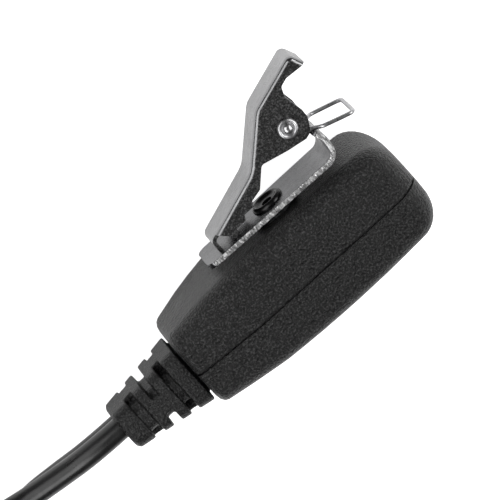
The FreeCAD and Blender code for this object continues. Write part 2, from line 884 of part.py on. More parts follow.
def make_spring():
    """Two coils beside the knuckle, an arm up under the tail from each, and the wire bail."""
    first_z = knuckle_half_width + spring_side_gap + spring_radius
    leave_deg = -90.0 - bail_slope_deg
    arm_deg = 90.0 + arm_slope_deg
    turns = 1 + (360 + leave_deg - arm_deg) / 360

    def coil_place(s):
        # s runs from 0 at the arm to the number of turns at the bail's leg.
        angle = math.radians(arm_deg + 360 * s)
        return V(
            pivot_x + spring_coil_radius * math.cos(angle),
            pivot_y + spring_coil_radius * math.sin(angle),
            first_z + spring_pitch * s,
        )

    edges, arm_way, leg_way = wound_edges(coil_place, 0.0, turns, spring_steps)
    arm_root = coil_place(0.0)
    leg_root = coil_place(turns)
    arm_tip = arm_root - arm_way * arm_length
    slope = math.radians(bail_slope_deg)

    def on_leg(x, z):
        return V(x, leg_root.y - math.tan(slope) * (x - leg_root.x), z)

    narrow_z = leg_root.z + leg_way.z / leg_way.x * (bail_narrow_x - leg_root.x)
    leg = [
        leg_root,
        on_leg(bail_narrow_x, narrow_z),
        on_leg(bail_wide_x, bail_half_width - bail_leg_lean),
        on_leg(bail_end_x - bail_leg_lean, bail_half_width + bail_leg_lean),
        on_leg(bail_end_x, 0),
    ]
    leg_edges = bent_edges(leg, [bail_bend_radius, bail_bend_radius, bail_corner_radius])
    one_side = [Part.LineSegment(arm_tip, arm_root).toShape()] + edges + leg_edges
    path = Part.Wire(Part.__sortEdges__(one_side))
    ring = Part.Wire([Part.makeCircle(spring_radius, arm_tip, arm_way)])
    half_spring = path.makePipeShell([ring], True, False)
    other = half_spring.mirror(V(0, 0, 0), V(0, 0, 1))
    spring = half_spring.fuse(other).removeSplitter()
    spring.translate(V(0, 0, mid_z))
    print("spring gap to itself", round(spring_pitch - spring_wire, 2), "turns", round(turns, 2))
    return spring


def boot_section(x, scale_back=0.0):
    share = (x - boot_x) / (boot_exit_x - boot_x)
    height = boot_height + share * (boot_exit_height - boot_height) - scale_back
    width = boot_width + share * (boot_exit_width - boot_width) - scale_back
    return rounded_section(
        x,
        seam_y - height / 2,
        seam_y + height / 2,
        mid_z - width / 2,
        mid_z + width / 2,
        boot_round,
        boot_round,
    )


def block(x0, x1, height, width, radius):
    """A rounded bar along X about the boot's axis."""
    section = rounded_section(
        x0,
        seam_y - height / 2,
        seam_y + height / 2,
        mid_z - width / 2,
        mid_z + width / 2,
        radius,
        radius,
    )
    return Part.Face(section).extrude(V(x1 - x0, 0, 0))


def lead_z(side):
    """The height of a lead's centre: side is 1 for the upper lead and -1 for the lower one."""
    return mid_z + side * lead_spacing / 2


def lead_exits():
    return [(earpiece_exit_y, lead_z(1)), (main_exit_y, lead_z(-1))]


def make_boot():
    form = Part.makeLoft(
        [
            boot_section(boot_exit_x, 2 * boot_chamfer),
            boot_section(boot_exit_x + boot_chamfer),
            boot_section(boot_x),
        ],
        True,
        True,
    )
    for index in range(len(rib_ends) - 1):
        x1 = rib_ends[index][1]
        x0 = rib_ends[index + 1][0]
        ring = box(x0, x1, seam_y - far, seam_y + far, mid_z - far, mid_z + far)
        core = block(x0 - 1, x1 + 1, boot_core_height, boot_core_width, boot_core_round)
        ring = ring.cut(core)
        if index % 2 == 0:
            web = box(x0, x1, -far, far, mid_z - boot_web_half_width, mid_z + boot_web_half_width)
        else:
            low = seam_y - boot_web_half_height
            web = box(x0, x1, low, low + 2 * boot_web_half_height, -far, far)
        form = form.cut(ring.cut(web))
    neck_end = boot_end_x + wall + face_gap
    neck = block(boot_x - 0.1, neck_end + 0.1, boot_neck_height, boot_neck_width, boot_neck_round)
    flange_end = neck_end + boot_flange_thickness
    flange = block(neck_end, flange_end, boot_flange_height, boot_flange_width, boot_neck_round)
    form = join(form, neck, flange)
    for y, z in lead_exits():
        form = form.cut(rod_x(y, z, lead_radius + lead_bore_gap, -far, 0))
    return form


def make_anchor():
    """The block inside the housing that grips both leads behind the boot's flange."""
    x0 = boot_end_x + wall + boot_flange_thickness + 2 * face_gap
    x1 = lead_inner_x - anchor_end_gap
    anchor = block(x0, x1, anchor_height, anchor_width, anchor_round)
    for y, z in lead_exits():
        anchor = anchor.cut(rod_x(y, z, lead_radius + lead_bore_gap, -far, 0))
    return anchor


def make_inner_leads():
    return [rod_x(y, z, lead_radius, boot_exit_x, lead_inner_x) for y, z in lead_exits()]


def make_lead_wires():
    """The leads' cores, laid along the board's back to its solder pads."""
    y = board_y + board_thickness + wire_rise
    start = lead_inner_x + face_gap
    end = board_from_x + pad_from - 2 * face_gap
    return [rod_x(y, mid_z + place, wire_radius, start, end) for place in wire_places]


coil_low_z = coil_floor_gap + lead_radius
coil_high_z = coil_low_z + coil_pitch
coil_outer_radius = coil_inner_radius + coil_pitch * coil_turns / 2


def coil_place(s):
    """The main lead's centre after s turns: in over two and a half turns, up, and out again."""
    middle = coil_turns / 2
    away = s - middle
    bend = coil_turn_back
    if abs(away) < bend:
        spread = (away**2 + bend**2) / (2 * bend)
        share = (away + bend) / (2 * bend)
        climb = share**2 * (3 - 2 * share)
    else:
        spread = abs(away)
        climb = 0.0 if away < 0 else 1.0
    radius = coil_inner_radius + coil_pitch * spread
    angle = math.radians(-90 - 360 * s)
    return V(
        coil_centre_x + radius * math.cos(angle),
        coil_centre_y + radius * math.sin(angle),
        coil_low_z + (coil_high_z - coil_low_z) * climb,
    )


def coil_gap():
    """The least gap between turns, measured between points a good way apart along the lead."""
    count = int(coil_turns * 72)
    points = [coil_place(coil_turns * i / count) for i in range(count + 1)]
    least = far
    for i, a in enumerate(points):
        for b in points[i + 36 :]:
            least = min(least, (a - b).Length)
    return least - lead_diameter


def make_coil():
    steps = int(coil_turns * 4)
    edges, into, out_of = wound_edges(coil_place, 0.0, coil_turns, steps)
    start = coil_place(0.0)
    end = coil_place(coil_turns)
    straight = lead_diameter
    edges = (
        [Part.LineSegment(start - into * straight, start).toShape()]
        + edges
        + [Part.LineSegment(end, end + out_of * straight).toShape()]
    )
    solid = tube(edges, start - into * straight, into, lead_radius)
    length = sum(edge.Length for edge in edges)
    ratio = solid.Volume / (math.pi * lead_radius**2 * length)
    print("coil length", round(length, 1), "volume ratio", round(ratio, 4))
    print("coil gap to itself", round(coil_gap(), 2))
    return solid, start - into * straight, into, end + out_of * straight, out_of


def make_tie():
    """A flat band round the coil's bundle of turns."""
    top = coil_high_z + lead_radius + tie_gap
    half = tie_width / 2
    outer = box(
        tie_inner_radius - tie_thickness,
        tie_outer_radius + tie_thickness,
        -half,
        half,
        0,
        top + tie_thickness,
    )
    inner = box(tie_inner_radius, tie_outer_radius, -far, far, tie_thickness, top)
    band = outer.cut(inner)
    band.rotate(V(0, 0, 0), V(0, 0, 1), tie_angle_deg)
    band.translate(V(coil_centre_x, coil_centre_y, 0))
    return band


def main_route(coil_entry, into):
    """The lower lead: out of the boot, down to the floor and round to the coil."""
    return [
        V(boot_exit_x, main_exit_y, lead_z(-1)),
        V(-48.0, main_exit_y, lead_z(-1)),
        V(-54.8, -1.6, 4.6),
        V(-61.8, -1.9, 2.4),
        V(-68.5, -3.9, 2.1),
        V(-73.6, -8.6, 2.1),
        V(-77.6, -14.6, 2.1),
        V(-82.2, -20.6, 2.2),
        V(-88.0, -25.2, 2.3),
        coil_entry - into * coil_lead_in,
        coil_entry,
    ]


def tail_route(coil_exit, out_of):
    """The lead's last stretch, down from the coil's upper layer to the plug on the floor."""
    plug_z = plug_body_radius
    return [
        coil_exit,
        coil_exit + out_of * coil_lead_out,
        V(plug_start_x - coil_lead_out, coil_exit.y + 0.2, plug_z),
        V(plug_start_x, coil_exit.y + 0.2, plug_z),
    ]


def earpiece_route():
    """The upper lead: down over the lower one, up on the coil, and round on top of it."""
    top_z = coil_high_z + coil_pitch
    socket_z = coil_high_z + lead_radius + tie_gap + socket_body_radius
    points = [
        V(boot_exit_x, earpiece_exit_y, lead_z(1)),
        V(-48.0, earpiece_exit_y, lead_z(1)),
        V(-55.2, -0.4, 9.4),
        V(-62.5, -0.2, 7.2),
        V(-69.5, 1.8, 8.2),
        V(-76.3, 5.6, 11.9),
        V(-84.0, 11.0, 12.6),
    ]
    for angle in (59, 84, 109, 134, 159, 184, 208, 231):
        turned = math.radians(angle)
        points.append(
            V(
                coil_centre_x + earpiece_lying_radius * math.cos(turned),
                coil_centre_y + earpiece_lying_radius * math.sin(turned),
                top_z + earpiece_lying_gap,
            )
        )
    points.append(V(socket_start_x - 7.4, socket_y, socket_z))
    points.append(V(socket_start_x, socket_y, socket_z))
    return points


def relief_cone(start, end_radius, length, slots):
    """A tapered relief on a lead's end with slots round it, along +X."""
    x, y, z = start
    cone = Part.makeCone(lead_radius + relief_wall, end_radius, length, start, V(1, 0, 0))
    for index in range(slots):
        x0 = x + relief_slot_from + index * relief_slot_pitch
        x1 = x0 + relief_slot_width
        slot = rod_x(y, z, 2 * end_radius, x0, x1)
        cone = cone.cut(slot.cut(rod_x(y, z, lead_radius + relief_slot_wall, x0, x1)))
    return cone


def make_plug(plug_y):
    """Relief, grip and the three-part jack of the plug, along +X."""
    z = plug_body_radius
    relief_end = plug_start_x + plug_relief_length
    body_end = relief_end + plug_body_length
    relief = relief_cone(V(plug_start_x, plug_y, z), plug_relief_radius, plug_relief_length, 3)
    body = rod_x(plug_y, z, plug_body_radius, relief_end, body_end)
    rims = [edge for edge in body.Edges if edge.Length > 6 * plug_body_radius]
    body = body.makeChamfer(plug_body_chamfer, rims)
    flat_y = plug_body_radius - plug_flat_depth
    for y0, y1 in ((plug_y + flat_y, far), (-far, plug_y - flat_y)):
        flat = box(relief_end + plug_flat_from, body_end - plug_flat_to, y0, y1, -far, far)
        body = body.cut(flat)
    hole_radius = jack_core_radius + face_gap
    body = body.cut(rod_x(plug_y, z, hole_radius, body_end - jack_core_depth, body_end + 1))
    pieces = {"plug_relief": [relief], "plug_body": [body]}
    lengths = [jack_sleeve_length, jack_insulator_length, jack_ring_length, jack_insulator_length]
    x = body_end
    rings = []
    for length in lengths:
        hole = rod_x(plug_y, z, hole_radius, x, x + length)
        rings.append(rod_x(plug_y, z, jack_radius, x, x + length).cut(hole))
        x += length
    sleeve, first_insulator, ring, second_insulator = rings
    core = rod_x(plug_y, z, jack_core_radius, body_end - jack_core_depth + 2 * face_gap, x)
    tip = [core]
    steps = [
        (jack_radius, jack_neck_radius, jack_neck_length),
        (jack_neck_radius, jack_bulb_radius, jack_bulb_length),
        (jack_bulb_radius, jack_nose_radius, jack_tip_length - jack_neck_length - jack_bulb_length),
    ]
    for radius, next_radius, length in steps:
        tip.append(Part.makeCone(radius, next_radius, length, V(x, plug_y, z), V(1, 0, 0)))
        x += length
    pieces["plug_sleeve"] = [sleeve]
    pieces["plug_insulators"] = [first_insulator, second_insulator]
    pieces["plug_ring"] = [ring]
    pieces["plug_tip"] = [join(*tip)]
    return pieces


def make_socket():
    """The in-line socket on the earpiece lead, its mouth towards +X."""
    y = socket_y
    z = coil_high_z + lead_radius + tie_gap + socket_body_radius
    relief_end = socket_start_x + socket_relief_length
    body_end = relief_end + socket_body_length
    relief_radius = socket_body_radius - socket_relief_taper
    relief = relief_cone(V(socket_start_x, y, z), relief_radius, socket_relief_length, 2)
    body = rod_x(y, z, socket_body_radius, relief_end, body_end)
    rims = [edge for edge in body.Edges if edge.Length > 6 * socket_body_radius]
    body = body.makeChamfer(socket_body_chamfer, rims)
    body = body.cut(rod_x(y, z, socket_bore_radius, body_end - socket_bore_length, body_end))
    contacts = []
    for index, side in enumerate((-1, 1)):
        x0 = body_end - socket_bore_length + contact_from + index * contact_pitch
        z0 = z + socket_bore_radius + contact_wall
        half = contact_width / 2
        x1 = x0 + contact_length
        z1 = z0 + contact_thickness
        gap = contact_gap
        slot = box(x0, x1, y - half, y + half, z0, z1)
        contact = box(x0 + gap, x1 - gap, y - half + gap, y + half - gap, z0 + gap, z1 - gap)
        for shape in (slot, contact):
            shape.rotate(V(x0, y, z), V(1, 0, 0), 90 * side)
        body = body.cut(slot)
        contacts.append(contact)
    return relief, body, contacts


rear_shell = make_rear_shell()
front_shell = make_front_shell()
export("rear_shell", rear_shell)
export("front_shell", front_shell)
export("talk_button", make_talk_button())
switch_body, switch_plunger = make_switch()
export("switch_body", switch_body)
export("switch_plunger", switch_plunger)
export("circuit_board", make_board())
export("board_parts", *make_board_parts())
export("housing_screws", *make_screws())
capsule_holder, microphone_capsule, dust_screen = make_microphone()
export("capsule_holder", capsule_holder)
export("microphone_capsule", microphone_capsule)
export("dust_screen", dust_screen)
export("strain_relief", make_boot())
export("cord_anchor", make_anchor())
export("inner_leads", *make_inner_leads())
export("lead_wires", *make_lead_wires())
export("swivel_rivet", make_rivet())
export("swivel_washer", make_washer())
export("clip_base", make_clip_base())
export("clip_lever", make_clip_lever())
export("pivot_pin", make_pivot_pin())
export("clip_spring", make_spring())

coil, coil_entry, coil_into, coil_exit, coil_out_of = make_coil()
export("main_cord_coil", coil)
main_cord = lead_tube("main_cord", main_route(coil_entry, coil_into), lead_radius)
export("main_cord", main_cord)
tail = tail_route(coil_exit, coil_out_of)
main_tail = lead_tube("main_cord_tail", tail, lead_radius)
export("main_cord_tail", main_tail)
earpiece_cord = lead_tube("earpiece_cord", earpiece_route(), lead_radius)
export("earpiece_cord", earpiece_cord)
export("cord_tie", make_tie())
for node, solids in make_plug(tail[-1].y).items():
    export(node, *solids)
socket_relief, socket_body, socket_contacts = make_socket()
export("socket_relief", socket_relief)
export("socket_body", socket_body)
export("socket_contacts", *socket_contacts)
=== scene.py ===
"""Looks of the lavalier microphone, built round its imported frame, which is in metres."""

import json
import math

import bmesh
import bpy
from mathutils import Matrix, Vector


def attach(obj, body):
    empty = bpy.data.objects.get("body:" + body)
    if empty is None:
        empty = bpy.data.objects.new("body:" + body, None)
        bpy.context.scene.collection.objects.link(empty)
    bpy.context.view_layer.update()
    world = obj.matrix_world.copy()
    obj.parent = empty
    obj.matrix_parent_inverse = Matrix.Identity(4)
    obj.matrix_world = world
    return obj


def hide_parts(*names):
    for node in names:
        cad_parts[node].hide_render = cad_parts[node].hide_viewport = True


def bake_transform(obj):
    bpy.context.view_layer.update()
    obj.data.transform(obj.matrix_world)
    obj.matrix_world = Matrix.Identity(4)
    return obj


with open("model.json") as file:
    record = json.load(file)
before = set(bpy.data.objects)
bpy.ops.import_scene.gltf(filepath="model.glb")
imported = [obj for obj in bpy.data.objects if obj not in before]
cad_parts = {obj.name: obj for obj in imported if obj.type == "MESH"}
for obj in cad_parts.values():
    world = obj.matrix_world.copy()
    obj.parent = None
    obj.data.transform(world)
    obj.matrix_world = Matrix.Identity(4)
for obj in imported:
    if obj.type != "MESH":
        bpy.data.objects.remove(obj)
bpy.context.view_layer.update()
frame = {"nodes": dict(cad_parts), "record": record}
nodes = frame["nodes"]
scene = bpy.context.scene

MM = 0.001


def mm(x, y, z):
    """A point given in millimetres, in metres."""
    return Vector((x, y, z)) * MM


# Camera: the photograph's view, from above and a little from the back face's side
view_tilt = math.radians(19.0)
view_roll = math.radians(42.0)
view_middle = mm(-7.26, 6.82, 10.0)
view_width = 80.65 * MM
camera_distance = 0.9
camera_clip_start = 0.01
sensor_width = 36.0


def make_camera():
    """A long lens, turned so that the housing points up to the right."""
    across = Vector((0, math.cos(view_tilt), -math.sin(view_tilt)))
    along = Vector((1, 0, 0))
    right = along * math.cos(view_roll) - across * math.sin(view_roll)
    up = along * math.sin(view_roll) + across * math.cos(view_roll)
    back = right.cross(up)
    data = bpy.data.cameras.new("camera")
    data.sensor_width = sensor_width
    data.lens = sensor_width * camera_distance / view_width
    data.clip_start = camera_clip_start
    camera = bpy.data.objects.new("camera", data)
    turned = Matrix((right, up, back)).transposed().to_4x4()
    camera.matrix_world = Matrix.Translation(view_middle + back * camera_distance) @ turned
    scene.collection.objects.link(camera)
    scene.camera = camera


# Floor, room and lights. The floor and the room show pale to the camera and light the object less.
white = (1, 1, 1, 1)
floor_half = 1.5
floor_paper = (0.9, 0.9, 0.9, 1)
floor_roughness = 0.9
floor_specular = 0.1
floor_glow = 0.4
floor_glow_seen = 0.9
room_glow = 0.05
room_glow_seen = 1.0
light_distance = 0.9
soft_boxes = [
    # name, compass angle and height in degrees, size in metres, power in watts
    ("softbox_boot_end", 200.0, 50.0, (0.5, 0.5), 3.2),
    ("softbox_round_end", 334.0, 48.0, (0.5, 0.5), 3.2),
    ("softbox_clip", 136.0, 44.0, (0.75, 0.72), 3.5),
    ("softbox_bail", 14.0, 38.0, (0.3, 0.4), 1.5),
]


def make_floor():
    """A pale sheet that the microphone lies on."""
    bm = bmesh.new()
    bmesh.ops.create_grid(bm, x_segments=1, y_segments=1, size=floor_half)
    mesh = bpy.data.meshes.new("floor")
    bm.to_mesh(mesh)
    bm.free()
    floor = bpy.data.objects.new("floor", mesh)
    scene.collection.objects.link(floor)
    material, tree, shader = new_material(
        "floor_paper",
        Base_Color=floor_paper,
        Roughness=floor_roughness,
        Specular_IOR_Level=floor_specular,
        Emission_Color=white,
    )
    path = add_node(tree, "ShaderNodeLightPath")
    glow = mapped(tree, path.outputs["Is Camera Ray"], floor_glow, floor_glow_seen)
    link(tree, (glow, shader.inputs["Emission Strength"]))
    mesh.materials.append(material)


def area_light(name, azimuth, height, size, power):
    """A soft box that looks at the object from that compass angle and height, in degrees."""
    around = math.radians(azimuth)
    above = math.radians(height)
    way = Vector((math.cos(around) * math.cos(above), math.sin(around) * math.cos(above), math.sin(above)))
    data = bpy.data.lights.new(name, "AREA")
    data.shape = "RECTANGLE"
    data.size, data.size_y = size
    data.energy = power
    light = bpy.data.objects.new(name, data)
    light.rotation_euler = way.to_track_quat("Z", "Y").to_euler()
    light.location = view_middle + way * light_distance
    scene.collection.objects.link(light)


def make_room():
    """A dim room that shows pale behind the object, so that dark surfaces stay dark."""
    world = bpy.data.worlds.new("room")
    world.use_nodes = True
    tree = world.node_tree
    background = tree.nodes["Background"]
    seen = add_node(tree, "ShaderNodeBackground")
    path = add_node(tree, "ShaderNodeLightPath")
    mix = add_node(tree, "ShaderNodeMixShader")
    background.inputs["Color"].default_value = white
    background.inputs["Strength"].default_value = room_glow
    seen.inputs["Color"].default_value = white
    seen.inputs["Strength"].default_value = room_glow_seen
    link(
        tree,
        (path.outputs["Is Camera Ray"], mix.inputs[0]),
        (background.outputs[0], mix.inputs[1]),
        (seen.outputs[0], mix.inputs[2]),
        (mix.outputs[0], tree.nodes["World Output"].inputs["Surface"]),
    )
    scene.world = world
    scene.view_settings.view_transform = "Standard"


def make_lights():
    """Two soft boxes over the object's ends, and two for the clip's rounded edges."""
    for box in soft_boxes:
        area_light(*box)


# Shader groups that several materials share
grain_detail = 3.0
grain_roughness = 0.6
spots_from = 0.5
spots_to = 0.64
streak_detail = 4.0
streak_roughness = 0.65
# The parts of a noise's range that are spread out over a tone's or a roughness's range
wide_range = (0.3, 0.7)
narrow_range = (0.35, 0.65)
high_range = (0.35, 0.7)


def group_socket(tree, name, direction, kind, value=None):
    """An input or output of a shader group."""
    socket = tree.interface.new_socket(name=name, in_out=direction, socket_type=kind)
    if value is not None:
        socket.default_value = value
    return socket


def add_node(tree, kind, **settings):
    """A shader node with its settings."""
    node = tree.nodes.new(kind)
    for key, value in settings.items():
        setattr(node, key, value)
    return node


def link(tree, *pairs):
    """Links from each source to its target."""
    for source, target in pairs:
        tree.links.new(source, target)


def grain_group():
    """Fine grain of a moulded or blasted surface: its height, and a mask of its high spots."""
    tree = bpy.data.node_groups.new("surface_grain", "ShaderNodeTree")
    group_socket(tree, "Vector", "INPUT", "NodeSocketVector")
    group_socket(tree, "Scale", "INPUT", "NodeSocketFloat", 4000.0)
    group_socket(tree, "Height", "OUTPUT", "NodeSocketFloat")
    group_socket(tree, "Spots", "OUTPUT", "NodeSocketFloat")
    into = add_node(tree, "NodeGroupInput")
    out = add_node(tree, "NodeGroupOutput")
    noise = add_node(tree, "ShaderNodeTexNoise")
    noise.inputs["Detail"].default_value = grain_detail
    noise.inputs["Roughness"].default_value = grain_roughness
    cells = add_node(tree, "ShaderNodeTexVoronoi", feature="SMOOTH_F1")
    rise = add_node(tree, "ShaderNodeMath", operation="SUBTRACT")
    spots = add_node(tree, "ShaderNodeMapRange")
    spots.inputs["From Min"].default_value = spots_from
    spots.inputs["From Max"].default_value = spots_to
    link(
        tree,
        (into.outputs["Vector"], noise.inputs["Vector"]),
        (into.outputs["Scale"], noise.inputs["Scale"]),
        (into.outputs["Vector"], cells.inputs["Vector"]),
        (into.outputs["Scale"], cells.inputs["Scale"]),
        (noise.outputs["Fac"], rise.inputs[0]),
        (cells.outputs["Distance"], rise.inputs[1]),
        (rise.outputs[0], out.inputs["Height"]),
        (noise.outputs["Fac"], spots.inputs["Value"]),
        (spots.outputs["Result"], out.inputs["Spots"]),
    )
    return tree


def streak_group():
    """Soft unevenness, which turns into brushed streaks where the vector is stretched."""
    tree = bpy.data.node_groups.new("surface_streaks", "ShaderNodeTree")
    group_socket(tree, "Vector", "INPUT", "NodeSocketVector")
    group_socket(tree, "Scale", "INPUT", "NodeSocketFloat", 3000.0)
    group_socket(tree, "Value", "OUTPUT", "NodeSocketFloat")
    into = add_node(tree, "NodeGroupInput")
    out = add_node(tree, "NodeGroupOutput")
    noise = add_node(tree, "ShaderNodeTexNoise")
    noise.inputs["Detail"].default_value = streak_detail
    noise.inputs["Roughness"].default_value = streak_roughness
    link(
        tree,
        (into.outputs["Vector"], noise.inputs["Vector"]),
        (into.outputs["Scale"], noise.inputs["Scale"]),
        (noise.outputs["Fac"], out.inputs["Value"]),
    )
    return tree


surface_grain = grain_group()
surface_streaks = streak_group()


def new_material(name, **sockets):
    """A material, its node tree and its shader, with values that are the same all over."""
    material = bpy.data.materials.new(name)
    material.use_nodes = True
    tree = material.node_tree
    shader = tree.nodes["Principled BSDF"]
    for key, value in sockets.items():
        shader.inputs[key.replace("_", " ")].default_value = value
    return material, tree, shader


def use_group(tree, group, vector, **values):
    """A shader group in use, fed with that vector."""
    node = add_node(tree, "ShaderNodeGroup", node_tree=group)
    tree.links.new(vector, node.inputs["Vector"])
    for key, value in values.items():
        node.inputs[key].default_value = value
    return node


def object_vector(tree, scale=(1, 1, 1), turn=(0, 0, 0)):
    """The place on the object, stretched and turned by degrees."""
    place = add_node(tree, "ShaderNodeTexCoord")
    mapping = add_node(tree, "ShaderNodeMapping")
    mapping.inputs["Scale"].default_value = scale
    mapping.inputs["Rotation"].default_value = [math.radians(a) for a in turn]
    tree.links.new(place.outputs["Object"], mapping.inputs["Vector"])
    return mapping.outputs["Vector"]


def mapped(tree, value, low, high, from_low=0.0, from_high=1.0):
    """A value spread over another range."""
    node = add_node(tree, "ShaderNodeMapRange")
    for key, number in (("From Min", from_low), ("From Max", from_high), ("To Min", low), ("To Max", high)):
        node.inputs[key].default_value = number
    tree.links.new(value, node.inputs["Value"])
    return node.outputs["Result"]


def grey(level):
    """A colour without hue."""
    return (level, level, level)


def two_tone(tree, factor, dark, light):
    """A colour between two fixed ones."""
    node = add_node(tree, "ShaderNodeMix", data_type="RGBA")
    node.inputs["A"].default_value = (*dark, 1)
    node.inputs["B"].default_value = (*light, 1)
    tree.links.new(factor, node.inputs["Factor"])
    return node.outputs["Result"]


def bumped(tree, shader, height, distance, strength=1.0):
    """Relief of the surface, as deep as the distance in metres."""
    bump = add_node(tree, "ShaderNodeBump")
    bump.inputs["Strength"].default_value = strength
    bump.inputs["Distance"].default_value = distance
    tree.links.new(height, bump.inputs["Height"])
    tree.links.new(bump.outputs["Normal"], shader.inputs["Normal"])


plastic_specular = 0.32
plastic_wear_scale = 90.0
plastic_wear = 0.06


def grained_plastic(name, tone, spot_tone_and_glint, roughness, scale, depth):
    """Moulded plastic or rubber with a fine matte grain, duller and glossier in broad patches. Its high
    spots take the spot tone: the grain's own where close to the tone, a painted glint where much lighter.
    """
    material, tree, shader = new_material(name, Specular_IOR_Level=plastic_specular)
    vector = object_vector(tree)
    grain = use_group(tree, surface_grain, vector, Scale=scale)
    broad = use_group(tree, surface_streaks, vector, Scale=plastic_wear_scale).outputs["Value"]
    rough = mapped(tree, broad, roughness - plastic_wear, roughness + plastic_wear, *wide_range)
    link(
        tree,
        (two_tone(tree, grain.outputs["Spots"], tone, spot_tone_and_glint), shader.inputs["Base Color"]),
        (rough, shader.inputs["Roughness"]),
    )
    bumped(tree, shader, grain.outputs["Height"], depth)
    return material


jacket_roughness = (0.24, 0.36)
jacket_ripple = 0.00004
jacket_ripple_strength = 0.5


def jacket_material():
    """Smooth black cord jacket with a faint unevenness."""
    material, tree, shader = new_material("lead_jacket_black", Specular_IOR_Level=0.5)
    vector = object_vector(tree)
    broad = use_group(tree, surface_streaks, vector, Scale=260.0).outputs["Value"]
    fine = use_group(tree, surface_grain, vector, Scale=7000.0)
    link(
        tree,
        (two_tone(tree, fine.outputs["Spots"], grey(0.008), grey(0.016)), shader.inputs["Base Color"]),
        (mapped(tree, broad, *jacket_roughness, *wide_range), shader.inputs["Roughness"]),
    )
    bumped(tree, shader, broad, jacket_ripple, jacket_ripple_strength)
    return material


nickel_shade = 0.8
nickel_dulling = 0.14


def nickel_material(name, tone, roughness, ripple, stretch=(1, 1, 1)):
    """Bright metal with streaks in it and a faint ripple."""
    material, tree, shader = new_material(name, Metallic=1.0)
    fine = use_group(tree, surface_streaks, object_vector(tree, stretch), Scale=2600.0)
    broad = use_group(tree, surface_streaks, object_vector(tree), Scale=900.0).outputs["Value"]
    dark = [channel * nickel_shade for channel in tone]
    streaks = mapped(tree, fine.outputs["Value"], 0, 1, *narrow_range)
    rough = mapped(tree, broad, roughness, roughness + nickel_dulling, *high_range)
    link(
        tree,
        (two_tone(tree, streaks, dark, tone), shader.inputs["Base Color"]),
        (rough, shader.inputs["Roughness"]),
    )
    bumped(tree, shader, broad, ripple)
    return material


def face_mask(tree, axis, low, high):
    """A mask of the faces that look along that axis, either way: 1 on them and 0 beside them."""
    place = add_node(tree, "ShaderNodeTexCoord")
    parts = add_node(tree, "ShaderNodeSeparateXYZ")
    size = add_node(tree, "ShaderNodeMath", operation="ABSOLUTE")
    link(tree, (place.outputs["Normal"], parts.inputs[0]), (parts.outputs[axis], size.inputs[0]))
    return mapped(tree, size.outputs[0], 0.0, 1.0, low, high)


def mixed(tree, factor, first, second, kind="FLOAT"):
    """A value or a colour between two others."""
    node = add_node(tree, "ShaderNodeMix", data_type=kind)
    link(tree, (factor, node.inputs["Factor"]), (first, node.inputs["A"]), (second, node.inputs["B"]))
    return node.outputs["Result"]


brush_stretch = (0.05, 1, 1)
brush_turn = (0, 0, -45)
back_shade = 0.86
back_roughness = (0.2, 0.32)
brush_relief = (0.47, 0.53)
cheek_facing = (0.93, 0.99)
cheek_shade = 0.35
cheek_spread = (0.0, 0.4)
cheek_roughness = (0.22, 0.5)


def stamped_nickel(name, back, cheek, cheek_depth, cheek_stretch):
    """Nickel plate over a stamping: brushed back, and mottled or sheared faces across the width, which get
    a tone of their own by the way they face as painted light: painted shade where darker than the back,
    painted highlight where lighter.
    """
    material, tree, shader = new_material(name, Metallic=1.0)
    brushed = object_vector(tree, brush_stretch, brush_turn)
    brush = use_group(tree, surface_streaks, brushed, Scale=2400.0).outputs["Value"]
    broad = use_group(tree, surface_streaks, object_vector(tree), Scale=500.0).outputs["Value"]
    mottled = object_vector(tree, cheek_stretch)
    mottle = use_group(tree, surface_grain, mottled, Scale=3200.0).outputs["Height"]
    marks = use_group(tree, surface_streaks, mottled, Scale=5200.0).outputs["Value"]
    # The faces across the width get their own tone here: painted shade on the lever's cheeks and painted
    # highlight on the base plate's sheared edges, each over a real mottle or shear streaks.
    mask = face_mask(tree, "Z", *cheek_facing)
    back_dark = [channel * back_shade for channel in back]
    cheek_dark = [channel * cheek_shade for channel in cheek]
    back_tone = two_tone(tree, mapped(tree, brush, 0, 1, *narrow_range), back_dark, back)
    cheek_painted_light_tone = two_tone(tree, mapped(tree, mottle, 0, 1, *cheek_spread), cheek_dark, cheek)
    back_rough = mapped(tree, broad, *back_roughness, *narrow_range)
    cheek_rough = mapped(tree, marks, *cheek_roughness, *narrow_range)
    height = mixed(tree, mask, mapped(tree, brush, *brush_relief), mottle)
    link(
        tree,
        (mixed(tree, mask, back_tone, cheek_painted_light_tone, "RGBA"), shader.inputs["Base Color"]),
        (mixed(tree, mask, back_rough, cheek_rough), shader.inputs["Roughness"]),
    )
    bumped(tree, shader, height, cheek_depth)
    return material


board_part_roughness = (0.3, 0.5)


def board_part_material():
    """The moulded black of the small parts on the board, faintly speckled."""
    material, tree, shader = new_material("board_parts_black")
    fine = use_group(tree, surface_grain, object_vector(tree), Scale=5000.0)
    link(
        tree,
        (two_tone(tree, fine.outputs["Spots"], grey(0.02), grey(0.06)), shader.inputs["Base Color"]),
        (mapped(tree, fine.outputs["Height"], *board_part_roughness), shader.inputs["Roughness"]),
    )
    return material


gloss_roughness = (0.12, 0.3)
gloss_ripple = 0.00002


def gloss_black_material():
    """Gloss black lacquer on the rivet."""
    material, tree, shader = new_material("rivet_gloss_black", Specular_IOR_Level=0.35)
    broad = use_group(tree, surface_streaks, object_vector(tree), Scale=1200.0).outputs["Value"]
    link(
        tree,
        (two_tone(tree, broad, grey(0.004), grey(0.012)), shader.inputs["Base Color"]),
        (mapped(tree, broad, *gloss_roughness, *wide_range), shader.inputs["Roughness"]),
    )
    bumped(tree, shader, broad, gloss_ripple)
    return material
